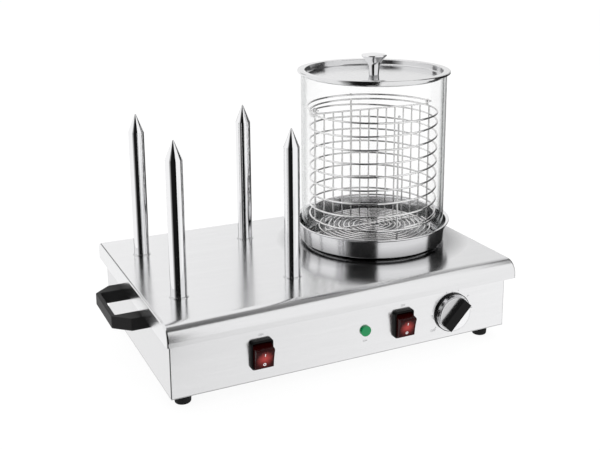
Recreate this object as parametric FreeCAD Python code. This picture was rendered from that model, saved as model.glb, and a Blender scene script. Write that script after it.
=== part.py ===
import FreeCAD, Part
import math
import os

# Hot dog steamer with four heated bun spikes.
# Millimetres, +Z up, X to the right, front towards -Y.
# The origin is the bottom centre of the whole object's box, so z = 0 is the table.

Vec = FreeCAD.Vector

# Stainless sheet and the gaps left between pieces.
sheet = 1.2
seat_gap = 0.15
running_gap = 0.05
swing_gap = 0.6

# Body: an upright box with a cover that overhangs it on every side.
foot_height = 18.0
body_height = 95.0
cover_width = 476.0
cover_flat_depth = 299.0
cover_height = 23.5
nose_radius = 18.0
tail_radius = 10.5
side_overhang = 7.0
front_overhang = 15.5
back_overhang = 12.0
flange_width = 12.0
corner_gap = 0.3
bend_radius = 1.4
panel_edge_radius = 0.9

# Vents in the base plate.
vent_count = 9
vent_length = 60.0
vent_width = 5.0
vent_pitch = 13.0
vent_row_spacing = 110.0

# Rubber feet and their fasteners.
foot_top_radius = 11.0
foot_bottom_radius = 9.6
foot_inset_side = 20.5
foot_inset_end = 24.5
foot_recess_radius = 5.4
foot_recess_depth = 9.0
foot_screw_radius = 2.5
foot_screw_head_radius = 4.6
foot_screw_head_height = 3.2
foot_screw_reach = 7.0
foot_nut_flats = 8.0
foot_nut_height = 4.0
foot_edge = 2.0
screw_hole_gap = 0.25

# Bun spikes.
spike_radius = 10.1
spike_height = 191.7
spike_cone_height = 23.5
spike_tip_radius = 0.8
spike_wall = 4.9
spike_column_spacing = 148.0
spike_row_spacing = 166.0
spike_field_x = -122.8
spike_field_y = 1.0
spike_collar_radius = 11.6
spike_collar_height = 1.0
spigot_radius = 8.0
spigot_length = 15.0
spike_nut_flats = 24.0
spike_nut_height = 8.0

# Cartridge heater inside each spike.
heater_gap = 0.1
heater_length = 150.0
heater_head_radius = 6.4
heater_head_length = 7.0
heater_end_room = 2.0
heater_lead_length = 6.0
heater_lead_offset = 2.6

# Steaming station: everything from the pan to the lid stands on one axis.
station_x = 113.5
station_y = 5.9
pan_sheet = 0.8
pan_floor_slope = 1.5
pan_ledge_reach = 1.5
pan_step_height = 4.0
pan_glass_room = 1.0
pan_wall_flare = 2.4
pan_height = 31.8
pan_rim_reach = 4.1
pan_lip_thickness = 1.6
pan_flare_drop = 1.8
pan_corner = 1.0
pan_stud_radius = 4.0
pan_stud_length = 26.0

# Heater under the pan.
heat_plate_inset = 18.5
heat_plate_thickness = 4.0
heat_hole_gap = 5.0
element_inset = 20.0
element_tube_radius = 3.3
element_opening_deg = 30.0
element_leg_length = 12.0
clamp_length = 150.0
clamp_width = 18.0
clamp_thickness = 3.0
clamp_nut_flats = 13.0
clamp_nut_height = 6.0
cutout_radius = 8.0
cutout_height = 6.0
cutout_offset = 30.0
cutout_ear_reach = 4.0
cutout_ear_half_width = 3.0
cutout_ear_thickness = 1.2
cutout_tab_width = 3.0
cutout_tab_length = 7.0
cutout_tab_offset = 4.0
bulb_radius = 3.0
bulb_length = 60.0
bulb_offset = 32.0
capillary_radius = 1.0
capillary_run = 7.0
capillary_bend = 6.0
capillary_height = 88.0
capillary_inset = 18.0
shield_width = 190.0
shield_depth = 190.0
shield_height = 52.0
shield_foot_width = 12.0
shield_thickness = 1.0
shield_window_side = 20.0
shield_window_end = 12.0

# Glass cylinder and lid.
glass_radius = 100.0
glass_wall = 3.5
glass_height = 235.5
glass_edge_radius = 0.8
lid_flange_reach = 4.7
lid_flange_lip = 2.0
lid_sheet = 1.0
lid_glass_room = 0.9
lid_dish_depth = 8.0
lid_knob_foot_radius = 7.0
lid_knob_neck_radius = 8.4
lid_knob_top_radius = 17.4
lid_knob_height = 29.4
lid_knob_flare_start = 16.0
lid_knob_flare_round = 9.0
lid_knob_edge = 1.6
lid_knob_crown = 1.4
lid_screw_radius = 2.4
lid_screw_depth = 14.0
lid_screw_end_room = 1.5
lid_screw_head_radius = 4.5
lid_screw_head_height = 3.0

# Sausage basket, welded from wire.
basket_wire = 1.3
basket_side_room = 3.8
basket_coil_pitch = 18.2
basket_coil_turns = 7.75
basket_bottom = 40.3
basket_rise = 16.5
basket_leg_count = 4
basket_leg_phase = -6.0
divider_bar_count = 12
divider_bar_pitch = 13.7
divider_wire = 1.1
floor_pitch = 7.0
floor_turns = 11
floor_wire = 1.2
bail_wire = 1.4
bail_eye_wall = 1.6
bail_lift = 6.0
weld_gap = 0.05
samples_per_turn = 48

# Front panel controls, placed from the panel's centre line and the base plate's underside.
control_height = 34.5
switch_left_x = -121.0
switch_right_x = 73.0
lamp_x = 19.0
knob_x = 148.0
frame_width = 28.2
frame_height = 36.0
frame_corner = 4.0
frame_depth = 5.5
rocker_width = 23.4
rocker_length = 25.6
rocker_height = 15.4
rocker_face_hollow = 0.8
rocker_face_round = 60.0
rocker_edge = 1.6
rocker_tilt = 12.0
rocker_pivot_depth = 2.0
rocker_pin_radius = 1.4
rocker_side_gap = 0.4
rocker_end_room = 2.8
housing_wall = 1.0
housing_depth = 26.0
frame_bevel = 1.0
frame_face = 1.5
socket_depth = 7.5
terminal_width = 4.8
terminal_length = 9.0
terminal_thickness = 0.8
tab_pitch = 9.0

# Pilot lamp.
lens_radius = 7.0
lens_depth = 3.2
lamp_body_radius = 5.6
lamp_body_length = 24.0
lamp_nut_radius = 8.0
lamp_nut_height = 3.0

# Thermostat and its knob.
skirt_radius = 26.0
skirt_thickness = 2.4
knob_stand_off = 0.8
ring_front_radius = 23.6
ring_depth = 4.2
knob_body_radius = 22.9
knob_depth = 9.6
grip_width = 15.0
grip_length = 43.5
grip_depth = 5.9
grip_angle = 44.0
face_thickness = 0.6
face_margin = 1.2
shaft_radius = 3.0
shaft_engagement = 9.0
bush_radius = 5.0
thermostat_width = 42.0
thermostat_height = 34.0
thermostat_depth = 26.0

# Bow handles on both sides.
handle_length = 119.5
handle_reach = 39.0
handle_height = 16.0
handle_top = 68.0
handle_chamfer_x = 20.0
handle_chamfer_y = 18.5
handle_grip = 5.5
handle_arm = 22.0
handle_edge = 1.5
handle_screw_radius = 2.5
handle_screw_length = 16.0
handle_screw_end_room = 1.5
handle_screw_head_radius = 4.75
handle_screw_head_height = 3.0
handle_gap_inset = 5.0
handle_corner = 3.0
handle_gap_corner = 2.0

# Supply: gland at the back, terminal block and earth stud inside.
gland_x = -150.0
gland_z = 40.0
gland_flats = 19.0
gland_head = 5.0
gland_cap_radius = 8.2
gland_reach = 11.0
gland_thread_radius = 7.5
gland_inner_length = 9.0
gland_bore_radius = 4.0
gland_nut_height = 4.0
block_length = 62.0
block_width = 22.0
block_height = 17.0
block_screw_count = 6
block_screw_radius = 2.4
block_screw_floor = 6.0
block_screw_recess = 2.0
block_screw_offset = 2.0
block_setback = 30.0
earth_stud_radius = 2.5
earth_stud_height = 16.0
earth_stud_gap = 22.0
earth_washer_radius = 6.0
earth_washer_thickness = 1.0
earth_nut_flats = 8.0
earth_nut_height = 4.0
wire_radius = 1.3
wire_bend = 9.0
wire_height = 8.0
wire_pitch = 4.0
loom_front_gap = 12.0

# Casing screws under the base plate.
casing_screw_radius = 1.75
casing_screw_length = 6.0
casing_screw_head_radius = 3.4
casing_screw_head_height = 1.9

# Heights and planes worked out from the sizes above.
base_bottom = foot_height
base_top = base_bottom + sheet
deck_z = foot_height + body_height
deck_under = deck_z - sheet
skirt_z = deck_z - cover_height
deck_y = (nose_radius - tail_radius) / 2.0
cover_front = deck_y - cover_flat_depth / 2.0 - nose_radius
cover_back = deck_y + cover_flat_depth / 2.0 + tail_radius
body_half_width = cover_width / 2.0 - side_overhang
body_front = cover_front + front_overhang
body_back = cover_back - back_overhang
body_mid_y = (body_front + body_back) / 2.0
panel_inner = body_front + sheet
station = Vec(station_x, deck_y + station_y, 0)
pan_floor_z = deck_z + pan_sheet
pan_ledge_z = deck_z + pan_step_height + pan_sheet
control_z = base_bottom + control_height
nose_centre_y = cover_front + nose_radius
nose_drop = max(nose_centre_y - body_front, 0.0)
wall_top = deck_z - nose_radius + math.sqrt((nose_radius - sheet) ** 2 - nose_drop ** 2) - running_gap
spike_xs = [spike_field_x - spike_column_spacing / 2.0, spike_field_x + spike_column_spacing / 2.0]
spike_mid_y = deck_y + spike_field_y
spike_ys = [spike_mid_y - spike_row_spacing / 2.0, spike_mid_y + spike_row_spacing / 2.0]

# Radii of the station, all from the glass.
glass_inner_radius = glass_radius - glass_wall
pan_step_radius = glass_inner_radius - pan_ledge_reach
pan_floor_radius = pan_step_radius - pan_floor_slope
pan_wall_bottom_radius = glass_radius + pan_glass_room + pan_sheet
pan_wall_top_radius = pan_wall_bottom_radius + pan_wall_flare
pan_rim_radius = pan_wall_top_radius + pan_rim_reach
heat_plate_radius = pan_floor_radius - heat_plate_inset
element_ring_radius = heat_plate_radius - element_inset
lid_flange_radius = glass_radius + lid_flange_reach
lid_dish_radius = glass_inner_radius - lid_glass_room
bail_reach = glass_inner_radius - basket_side_room - bail_wire
basket_radius = bail_reach - bail_wire - swing_gap - basket_wire


# Shape helpers.
def box(x0, x1, y0, y1, z0, z1):
    return Part.makeBox(x1 - x0, y1 - y0, z1 - z0, Vec(x0, y0, z0))


def post(x, y, z0, z1, radius):
    return Part.makeCylinder(radius, z1 - z0, Vec(x, y, z0))


def rod_y(x, z, y0, y1, radius):
    return Part.makeCylinder(radius, y1 - y0, Vec(x, y0, z), Vec(0, 1, 0))


def rod_x(y, z, x0, x1, radius):
    return Part.makeCylinder(radius, x1 - x0, Vec(x0, y, z), Vec(1, 0, 0))


def outline_face(corners, place):
    """A flat face from corners (a, b, round radius), each round being a tangent arc."""
    count = len(corners)
    points = [Vec(a, b, 0) for a, b, radius in corners]
    ends = []
    for i in range(count):
        here = points[i]
        back = (points[i - 1] - here).normalize()
        ahead = (points[(i + 1) % count] - here).normalize()
        radius = corners[i][2]
        if radius == 0:
            ends.append((here, None, here))
            continue
        half = back.getAngle(ahead) / 2.0
        trim = radius / math.tan(half)
        middle = (back + ahead).normalize()
        crest = here + middle * (radius / math.sin(half) - radius)
        ends.append((here + back * trim, crest, here + ahead * trim))
    edges = []
    for i in range(count):
        start, crest, end = ends[i]
        if crest is not None:
            edges.append(Part.Arc(place(start), place(crest), place(end)).toShape())
        following = ends[(i + 1) % count][0]
        if end.distanceToPoint(following) > 1e-6:
            edges.append(Part.LineSegment(place(end), place(following)).toShape())
    return Part.Face(Part.Wire(edges))


def turned(corners, axis_point):
    """A solid of revolution about the upright axis through axis_point; corners are (r, z, round)."""
    face = outline_face(corners, lambda p: Vec(axis_point.x + p.x, axis_point.y, p.y))
    return face.revolve(Vec(axis_point.x, axis_point.y, 0), Vec(0, 0, 1), 360)


def turned_y(corners, x, z):
    """A solid of revolution about a line along Y through x, z; corners are (r, y, round)."""
    face = outline_face(corners, lambda p: Vec(x + p.x, p.y, z))
    return face.revolve(Vec(x, 0, z), Vec(0, 1, 0), 360)


def plate_xy(corners, z0, z1):
    return outline_face(corners, lambda p: Vec(p.x, p.y, z0)).extrude(Vec(0, 0, z1 - z0))


def plate_xz(corners, y0, y1):
    return outline_face(corners, lambda p: Vec(p.x, y0, p.y)).extrude(Vec(0, y1 - y0, 0))


def rectangle(x0, x1, y0, y1, radius):
    return [(x0, y0, radius), (x1, y0, radius), (x1, y1, radius), (x0, y1, radius)]


def hexagon(x, y, flats, z0, z1):
    reach = flats / math.sqrt(3.0)
    corners = []
    for i in range(6):
        angle = math.radians(60 * i + 30)
        corners.append((x + reach * math.cos(angle), y + reach * math.sin(angle), 0))
    return plate_xy(corners, z0, z1)


def joined(shapes):
    whole = shapes[0]
    for shape in shapes[1:]:
        whole = whole.fuse(shape)
    return whole.removeSplitter()


def group(shapes):
    return Part.makeCompound(shapes)


def mirrored(shape):
    return shape.mirror(Vec(0, 0, 0), Vec(1, 0, 0))


def turn_about_x(shape, y, z, degrees):
    moved = shape.copy()
    moved.rotate(Vec(0, y, z), Vec(1, 0, 0), degrees)
    return moved


def bent_path(points, bend):
    """Straight runs joined by tangent arcs; an arc takes at most 0.45 of the shorter run."""
    edges = []
    start = points[0]
    for i in range(1, len(points) - 1):
        here = points[i]
        back = points[i - 1] - here
        ahead = points[i + 1] - here
        half = back.getAngle(ahead) / 2.0
        trim = min(bend / math.tan(half), 0.45 * min(back.Length, ahead.Length))
        radius = trim * math.tan(half)
        back.normalize()
        ahead.normalize()
        first = here + back * trim
        last = here + ahead * trim
        crest = here + (back + ahead).normalize() * (radius / math.sin(half) - radius)
        edges.append(Part.LineSegment(start, first).toShape())
        edges.append(Part.Arc(first, crest, last).toShape())
        start = last
    edges.append(Part.LineSegment(start, points[-1]).toShape())
    return Part.Wire(edges)


def wire_along(path, start, direction, radius):
    section = Part.Wire(Part.makeCircle(radius, start, direction))
    return path.makePipeShell([section], True, False)


def bent_wire(points, radius, bend):
    return wire_along(bent_path(points, bend), points[0], points[1] - points[0], radius)


def ring_wire(centre, ring_radius, wire_radius_here):
    return Part.makeTorus(ring_radius, wire_radius_here, centre)


# Body and cover.
def cover_profile(inset):
    """Side view of the cover: flat top, large round at the front, small round at the back."""
    front = cover_front + inset
    back = cover_back - inset
    top = deck_z - inset
    bottom = skirt_z + inset
    return [(front, bottom, 0), (back, bottom, 0), (back, top, tail_radius - inset),
            (front, top, nose_radius - inset)]


def cover_block(inset):
    """The cover's outside, or its inside when inset by the sheet, rounded along both ends."""
    half = cover_width / 2.0 - inset
    face = outline_face(cover_profile(inset), lambda p: Vec(-half, p.x, p.y))
    block = face.extrude(Vec(2 * half, 0, 0))
    bottom = skirt_z + inset + 0.01
    ends = [e for e in block.Edges if e.BoundBox.XLength < 1e-6 and e.BoundBox.ZMax > bottom]
    return block.makeFillet(bend_radius + sheet - inset, ends)


def deck_cover():
    shell = cover_block(0).cut(cover_block(sheet))
    reach = seat_gap
    opening = box(-body_half_width - reach, body_half_width + reach, body_front - reach, body_back + reach,
                  skirt_z - 1, skirt_z + sheet + 1)
    shell = shell.cut(opening)
    for x in spike_xs:
        for y in spike_ys:
            shell = shell.cut(post(x, y, deck_under - 1, deck_z + 1, spigot_radius + screw_hole_gap))
    heat_hole = post(station.x, station.y, deck_under - 1, deck_z + 1, heat_plate_radius + heat_hole_gap)
    return shell.cut(heat_hole)


def foot_places():
    x = body_half_width - foot_inset_side
    return [(-x, body_front + foot_inset_end), (x, body_front + foot_inset_end),
            (-x, body_back - foot_inset_end), (x, body_back - foot_inset_end)]


def casing_screw_places():
    x = body_half_width - sheet - flange_width / 2.0
    y_front = body_front + sheet + flange_width / 2.0
    y_back = body_back - sheet - flange_width / 2.0
    third = body_half_width / 3.0
    sides = [(side * x, body_mid_y + shift) for side in (-1, 1) for shift in (-third, third)]
    ends = [(side * third, y) for side in (-1, 1) for y in (y_front, y_back)]
    return sides + ends


def handle_screw_places():
    arm_y = handle_length / 2.0 - handle_arm / 2.0
    return [(body_mid_y - arm_y, base_bottom + handle_top - handle_height / 2.0),
            (body_mid_y + arm_y, base_bottom + handle_top - handle_height / 2.0)]


def upright_edges(block, y):
    return [e for e in block.Edges if abs(e.BoundBox.YMin - y) < 0.01 and abs(e.BoundBox.YMax - y) < 0.01
            and e.BoundBox.XLength < 0.01]


def body_shell():
    """Left side, back and right side bent from one sheet, with flanges at top and bottom."""
    outer = box(-body_half_width, body_half_width, panel_inner + corner_gap, body_back, base_top, wall_top)
    outer = outer.makeFillet(bend_radius + sheet, upright_edges(outer, body_back))
    inner = box(-body_half_width + sheet, body_half_width - sheet, body_front, body_back - sheet,
                base_top + sheet, wall_top - sheet)
    inner = inner.makeFillet(bend_radius, upright_edges(inner, body_back - sheet))
    shell = outer.cut(inner)
    inset = sheet + flange_width
    middle = box(-body_half_width + inset, body_half_width - inset, body_front, body_back - inset,
                 base_top - 1, deck_z)
    shell = shell.cut(middle)
    panel_room = sheet + flange_width + corner_gap
    for z0, z1 in ((base_top - 1, base_top + sheet + 1), (wall_top - sheet - 1, deck_z)):
        shell = shell.cut(box(-body_half_width + sheet, body_half_width - sheet, body_front,
                              body_front + panel_room, z0, z1))
    for x, y in casing_screw_places():
        shell = shell.cut(post(x, y, base_top - 1, base_top + sheet + 1, casing_screw_radius + seat_gap))
    for y, z in handle_screw_places():
        shell = shell.cut(rod_x(y, z, -body_half_width - 1, body_half_width + 1,
                                handle_screw_radius + screw_hole_gap))
    gland_hole = rod_y(gland_x, gland_z + base_bottom, body_back - sheet - 1, body_back + 1,
                       gland_thread_radius + screw_hole_gap)
    return shell.cut(gland_hole)


def control_places():
    return [switch_left_x, switch_right_x]


def housing_half_width():
    return rocker_width / 2.0 + rocker_side_gap + housing_wall


def housing_half_height():
    return rocker_length / 2.0 + rocker_end_room + housing_wall


def front_panel():
    """Front plate with side returns and with flanges at top and bottom."""
    half = body_half_width
    plate = box(-half, half, body_front, panel_inner, base_top, wall_top)
    plate = plate.makeFillet(panel_edge_radius, upright_edges(plate, body_front))
    inner_half = half - sheet - corner_gap
    depth = sheet + flange_width
    pieces = [plate]
    pieces.append(box(-inner_half, inner_half, panel_inner, body_front + depth, base_top, base_top + sheet))
    pieces.append(box(-inner_half, inner_half, panel_inner, body_front + depth, wall_top - sheet, wall_top))
    for side in (-1, 1):
        x0, x1 = sorted((side * inner_half, side * (inner_half - sheet)))
        pieces.append(box(x0, x1, panel_inner, body_front + depth, base_top, wall_top))
    panel = joined(pieces)
    half_w = housing_half_width() + seat_gap
    half_h = housing_half_height() + seat_gap
    for x in control_places():
        panel = panel.cut(box(x - half_w, x + half_w, body_front - 1, panel_inner + 1,
                              control_z - half_h, control_z + half_h))
    for x, radius in ((lamp_x, lamp_body_radius), (knob_x, bush_radius)):
        panel = panel.cut(rod_y(x, control_z, body_front - 1, panel_inner + 1, radius + seat_gap))
    for x, y in casing_screw_places():
        panel = panel.cut(post(x, y, base_top - 1, base_top + sheet + 1, casing_screw_radius + seat_gap))
    return panel


def vent_slots():
    slots = []
    first = -(vent_count - 1) / 2.0 * vent_pitch
    for row in (-1, 1):
        for i in range(vent_count):
            x = station.x + first + i * vent_pitch
            y = station.y + row * vent_row_spacing / 2.0
            corners = rectangle(x - vent_width / 2.0, x + vent_width / 2.0,
                                y - vent_length / 2.0, y + vent_length / 2.0, vent_width * 0.49)
            slots.append(plate_xy(corners, base_bottom - 1, base_top + 1))
    return slots


def base_plate():
    plate = box(-body_half_width, body_half_width, body_front, body_back, base_bottom, base_top)
    for slot in vent_slots():
        plate = plate.cut(slot)
    for x, y in foot_places():
        plate = plate.cut(post(x, y, base_bottom - 1, base_top + 1, foot_screw_radius + screw_hole_gap))
    for x, y in casing_screw_places():
        plate = plate.cut(post(x, y, base_bottom - 1, base_top + 1, casing_screw_radius + seat_gap))
    return plate


def casing_screws():
    screws = []
    for x, y in casing_screw_places():
        head = post(x, y, base_bottom - casing_screw_head_height, base_bottom, casing_screw_head_radius)
        shank = post(x, y, base_bottom, base_bottom + casing_screw_length, casing_screw_radius)
        screws.append(joined([head, shank]))
    return group(screws)


# Feet.
def rubber_foot(x, y):
    axis = Vec(x, y, 0)
    foot = turned([(0, 0, 0), (foot_bottom_radius, 0, foot_edge), (foot_top_radius, foot_height, 0),
                   (0, foot_height, 0)], axis)
    recess = post(x, y, -1, foot_recess_depth, foot_recess_radius)
    hole = post(x, y, -1, foot_height + 1, foot_screw_radius + screw_hole_gap)
    return foot.cut(recess).cut(hole)


def foot_screws():
    screws = []
    for x, y in foot_places():
        under = foot_recess_depth - foot_screw_head_height
        head = post(x, y, under, foot_recess_depth, foot_screw_head_radius)
        shank = post(x, y, foot_recess_depth, base_top + foot_screw_reach, foot_screw_radius)
        screws.append(joined([head, shank]))
    return group(screws)


def foot_nuts():
    nuts = []
    for x, y in foot_places():
        top = base_top + foot_nut_height
        nut = hexagon(x, y, foot_nut_flats, base_top, top)
        nuts.append(nut.cut(post(x, y, base_top - 1, top + 1, foot_screw_radius + running_gap)))
    return group(nuts)


# Bun spikes.
def bun_spike(x, y):
    axis = Vec(x, y, 0)
    foot_z = deck_z + spike_collar_height
    shoulder = deck_z + spike_height - spike_cone_height
    tip = deck_z + spike_height
    bottom = deck_under - spigot_length
    bore = spike_radius - spike_wall
    bore_top = bottom + heater_length
    return turned([(bore, bottom, 0), (spigot_radius, bottom, 0), (spigot_radius, foot_z, 0),
                   (spike_radius, foot_z, 0.4), (spike_radius, shoulder, 1.5),
                   (spike_tip_radius, tip, 0.5), (0, tip, 0), (0, bore_top, 0), (bore, bore_top, 0)], axis)


def spike_collars():
    collars = []
    for x in spike_xs:
        for y in spike_ys:
            disc = post(x, y, deck_z, deck_z + spike_collar_height, spike_collar_radius)
            hole = post(x, y, deck_z - 1, deck_z + spike_collar_height + 1, spigot_radius + screw_hole_gap)
            collars.append(disc.cut(hole))
    return group(collars)


def spike_nuts():
    nuts = []
    for x in spike_xs:
        for y in spike_ys:
            nut = hexagon(x, y, spike_nut_flats, deck_under - spike_nut_height, deck_under)
            below = deck_under - spike_nut_height - 1
            hole = post(x, y, below, deck_under + 1, spigot_radius + running_gap)
            nuts.append(nut.cut(hole))
    return group(nuts)


def spike_heater(x, y):
    bottom = deck_under - spigot_length
    radius = spike_radius - spike_wall - heater_gap
    under = bottom - heater_head_length
    rod = post(x, y, bottom, bottom + heater_length - heater_end_room, radius)
    head = post(x, y, under, bottom, heater_head_radius)
    leads = [post(x + shift, y, under - heater_lead_length, under, wire_radius)
             for shift in (-heater_lead_offset, heater_lead_offset)]
    return joined([rod, head] + leads)


# Steaming station, from the bottom up.
def water_pan():
    under = deck_z
    step_under = pan_ledge_z - pan_sheet
    rim = deck_z + pan_height
    flare = rim - pan_lip_thickness - pan_flare_drop
    wall_in = pan_wall_bottom_radius - pan_sheet
    wall_in_top = pan_wall_top_radius - pan_sheet
    pan = turned([(0, under, 0), (pan_floor_radius, under, 1.0), (pan_step_radius, step_under, 1.0),
                  (pan_wall_bottom_radius, step_under, pan_corner + pan_sheet),
                  (pan_wall_top_radius, flare, 1.6), (pan_rim_radius, rim - pan_lip_thickness, 0.7),
                  (pan_rim_radius, rim, 0.7), (wall_in_top, rim - pan_lip_thickness, 1.2),
                  (wall_in, pan_ledge_z, pan_corner), (pan_step_radius - pan_sheet, pan_ledge_z, 0.8),
                  (pan_floor_radius - pan_sheet, pan_floor_z, 0.6), (0, pan_floor_z, 0)], station)
    stud = post(station.x, station.y, under - pan_stud_length, under + pan_sheet / 2.0, pan_stud_radius)
    return joined([pan, stud])


def heat_plate():
    plate_z = deck_z - heat_plate_thickness
    disc = post(station.x, station.y, plate_z, deck_z, heat_plate_radius)
    hole = post(station.x, station.y, plate_z - 1, deck_z + 1, pan_stud_radius + screw_hole_gap)
    return disc.cut(hole)


def element_z():
    return deck_z - heat_plate_thickness - element_tube_radius


def heating_element():
    """An open ring of tube with its two ends turned down."""
    half_gap = math.radians(element_opening_deg / 2.0)
    ring = Vec(station.x, station.y, element_z())
    first = ring + Vec(-math.cos(half_gap), -math.sin(half_gap), 0) * element_ring_radius
    last = ring + Vec(-math.cos(half_gap), math.sin(half_gap), 0) * element_ring_radius
    far = ring + Vec(element_ring_radius, 0, 0)
    arc = Part.Wire([Part.Arc(first, far, last).toShape()])
    heading = Vec(math.sin(half_gap), -math.cos(half_gap), 0)
    tube = wire_along(arc, first, heading, element_tube_radius)
    legs = []
    for end in (first, last):
        legs.append(Part.makeSphere(element_tube_radius, end))
        legs.append(Part.makeCylinder(element_tube_radius, element_leg_length, end, Vec(0, 0, -1)))
    return joined([tube] + legs)


def element_clamp():
    top = element_z() - element_tube_radius
    half = clamp_width / 2.0
    bar = box(station.x - half, station.x + half, station.y - clamp_length / 2.0,
              station.y + clamp_length / 2.0, top - clamp_thickness, top)
    hole = post(station.x, station.y, top - clamp_thickness - 1, top + 1, pan_stud_radius + screw_hole_gap)
    return bar.cut(hole)


def clamp_nut():
    top = element_z() - element_tube_radius - clamp_thickness
    bottom = top - clamp_nut_height
    nut = hexagon(station.x, station.y, clamp_nut_flats, bottom, top)
    return nut.cut(post(station.x, station.y, bottom - 1, top + 1, pan_stud_radius + running_gap))


def thermal_cutout():
    plate_z = deck_z - heat_plate_thickness
    x = station.x + cutout_offset
    y = station.y + cutout_offset * 0.6
    under = plate_z - cutout_height
    reach = cutout_radius + cutout_ear_reach
    can = post(x, y, under, plate_z, cutout_radius)
    ears = box(x - reach, x + reach, y - cutout_ear_half_width, y + cutout_ear_half_width,
               plate_z - cutout_ear_thickness, plate_z)
    half = terminal_thickness / 2.0
    tabs = []
    for side in (-1, 1):
        middle = x + side * cutout_tab_offset
        tabs.append(box(middle - cutout_tab_width / 2.0, middle + cutout_tab_width / 2.0,
                        y - half, y + half, under - cutout_tab_length, under))
    return joined([can, ears] + tabs)


def bulb_line():
    """Height and Y of the thermostat bulb under the heat plate."""
    return station.y - bulb_offset, deck_z - heat_plate_thickness - bulb_radius - seat_gap


def thermostat_bulb():
    y, z = bulb_line()
    return rod_x(y, z, station.x - bulb_length / 2.0, station.x + bulb_length / 2.0, bulb_radius)


def heat_shield():
    """A folded sheet on two legs that keeps the heat off the wiring."""
    x0 = station.x - shield_width / 2.0
    x1 = station.x + shield_width / 2.0
    y0 = station.y - shield_depth / 2.0
    y1 = station.y + shield_depth / 2.0
    top = base_top + shield_height
    pieces = [box(x0, x1, y0, y1, top - shield_thickness, top)]
    for y_a, y_b in ((y0, y0 + shield_thickness), (y1 - shield_thickness, y1)):
        pieces.append(box(x0, x1, y_a, y_b, base_top, top))
    pieces.append(box(x0, x1, y0, y0 + shield_foot_width, base_top, base_top + shield_thickness))
    pieces.append(box(x0, x1, y1 - shield_foot_width, y1, base_top, base_top + shield_thickness))
    shield = joined(pieces)
    window = box(x0 + shield_window_side, x1 - shield_window_side, y0 - 1, y1 + 1,
                 base_top + shield_window_end, top - shield_window_end)
    return shield.cut(window)


# Glass and lid.
def glass_bottom():
    return pan_ledge_z + seat_gap


def glass_top():
    return glass_bottom() + glass_height


def glass_cylinder():
    z0 = glass_bottom()
    z1 = glass_top()
    edge = glass_edge_radius
    return turned([(glass_inner_radius, z0, edge), (glass_radius, z0, edge), (glass_radius, z1, edge),
                   (glass_inner_radius, z1, edge)], station)


def lid():
    """Flat flange on the rim of the glass and a dish that drops inside it."""
    seat = glass_top() + seat_gap
    top = seat + lid_sheet
    floor = top - lid_dish_depth
    under = floor - lid_sheet
    dish_in = lid_dish_radius - lid_sheet
    lip_in = lid_flange_radius - lid_sheet
    lip_z = seat - lid_flange_lip
    shape = turned([(0, under, 0), (lid_dish_radius, under, 2.4), (lid_dish_radius, seat, 0),
                    (lip_in, seat, 0), (lip_in, lip_z, 0), (lid_flange_radius, lip_z, 0),
                    (lid_flange_radius, top, 1.0), (dish_in, top, 0.8), (dish_in, floor, 1.4),
                    (0, floor, 0)], station)
    hole = post(station.x, station.y, under - 1, floor + 1, lid_screw_radius + screw_hole_gap)
    return shape.cut(hole)


def lid_floor_z():
    return glass_top() + seat_gap + lid_sheet - lid_dish_depth


def lid_knob():
    z0 = lid_floor_z()
    flare = z0 + lid_knob_flare_start
    top = z0 + lid_knob_height
    edge = top - lid_knob_crown
    knob = turned([(0, z0, 0), (lid_knob_foot_radius, z0, 0.6),
                   (lid_knob_neck_radius, flare, lid_knob_flare_round),
                   (lid_knob_top_radius, edge - lid_knob_edge, 0.3), (lid_knob_top_radius, edge, 0.6),
                   (lid_knob_top_radius * 0.55, top, 8.0), (0, top, 0)], station)
    hole = post(station.x, station.y, z0 - 1, z0 + lid_screw_depth, lid_screw_radius)
    return knob.cut(hole)


def lid_screw():
    under = lid_floor_z() - lid_sheet
    head = post(station.x, station.y, under - lid_screw_head_height, under, lid_screw_head_radius)
    tip = lid_floor_z() + lid_screw_depth - lid_screw_end_room
    shank = post(station.x, station.y, under, tip, lid_screw_radius - running_gap)
    return joined([head, shank])


# Basket.
def basket_floor_z():
    """Centre height of the floor spiral."""
    return pan_floor_z + basket_rise + floor_wire


def basket_ring_z(top):
    coil_start = deck_z + basket_bottom
    if top:
        return coil_start + basket_coil_pitch * basket_coil_turns + 2 * (basket_wire + weld_gap)
    return coil_start - 2 * (basket_wire + weld_gap)


def helix_point(angle, start_z):
    rise = basket_coil_pitch * angle / (2 * math.pi)
    turn = angle - math.pi / 2.0
    return Vec(station.x + basket_radius * math.cos(turn), station.y + basket_radius * math.sin(turn),
               start_z + rise)


def helix_heading(angle):
    turn = angle - math.pi / 2.0
    rise = basket_coil_pitch / (2 * math.pi)
    return Vec(-basket_radius * math.sin(turn), basket_radius * math.cos(turn), rise).normalize()


def tangent_arc(start, corner, end):
    """The arc from start to end that is tangent to both legs of the corner."""
    chord_mid = (start + end) * 0.5
    half_chord = start.distanceToPoint(end) / 2.0
    drop = corner - chord_mid
    slope = math.atan2(drop.Length, half_chord)
    crest = chord_mid + drop.normalize() * (half_chord * math.tan(slope / 2.0))
    return Part.Arc(start, crest, end).toShape()


def biarc(p0, t0, p1, t1):
    """Two tangent arcs from p0 to p1 that leave along t0 and arrive along t1."""
    span = p1 - p0
    heading = t0 + t1
    a = 2.0 * (t0.dot(t1) - 1.0)
    b = -2.0 * span.dot(heading)
    c = span.dot(span)
    reach = (-b - math.sqrt(b * b - 4 * a * c)) / (2 * a)
    corner_one = p0 + t0 * reach
    corner_two = p1 - t1 * reach
    joint = (corner_one + corner_two) * 0.5
    return [tangent_arc(p0, corner_one, joint), tangent_arc(joint, corner_two, p1)]


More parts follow.
